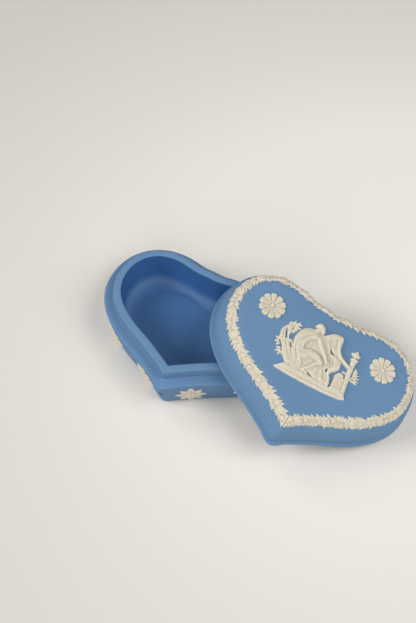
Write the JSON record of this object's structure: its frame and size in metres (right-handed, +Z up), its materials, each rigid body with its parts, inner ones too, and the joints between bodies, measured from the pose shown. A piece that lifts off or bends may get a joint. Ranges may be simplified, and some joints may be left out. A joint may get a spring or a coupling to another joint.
{
  "type": "trinket box",
  "caption": "Heart-shaped lidded stoneware box with applied cream reliefs; the loose lid leans on the open base and lifts off.",
  "frame": {"origin": "on the table plane at the middle of the base's flat foot, on the heart's axis", "axes": "+Z up, +X towards the side where the lid leans, -Y towards the heart's tip"},
  "size_m": [0.1715, 0.0832, 0.0493],
  "materials": {
    "clay_base": "matte unglazed pale-blue stoneware",
    "clay_lid": "matte unglazed pale-blue stoneware",
    "relief_cream": "matte unglazed cream clay"
  },
  "bodies": {
    "base": {"base_shell": "clay_base", "star_flower_right_1": "relief_cream", "star_flower_left_1": "relief_cream", "star_flower_right_2": "relief_cream", "star_flower_left_2": "relief_cream", "star_flower_right_3": "relief_cream", "star_flower_left_3": "relief_cream", "star_flower_right_4": "relief_cream", "star_flower_left_4": "relief_cream", "star_flower_right_5": "relief_cream", "star_flower_left_5": "relief_cream"},
    "lid": {"lid_shell": "clay_lid", "garland_right_1": "relief_cream", "garland_left_1": "relief_cream", "garland_right_2": "relief_cream", "garland_left_2": "relief_cream", "garland_right_3": "relief_cream", "garland_left_3": "relief_cream", "garland_right_4": "relief_cream", "garland_left_4": "relief_cream", "rosette_right": "relief_cream", "rosette_left": "relief_cream", "scene_relief": "relief_cream"}
  },
  "joints": [
    {"name": "lid_lift", "type": "slide", "parent": "base", "child": "lid", "axis": [0, 0, 1], "range_m": [0, 0.07]}
  ]
}
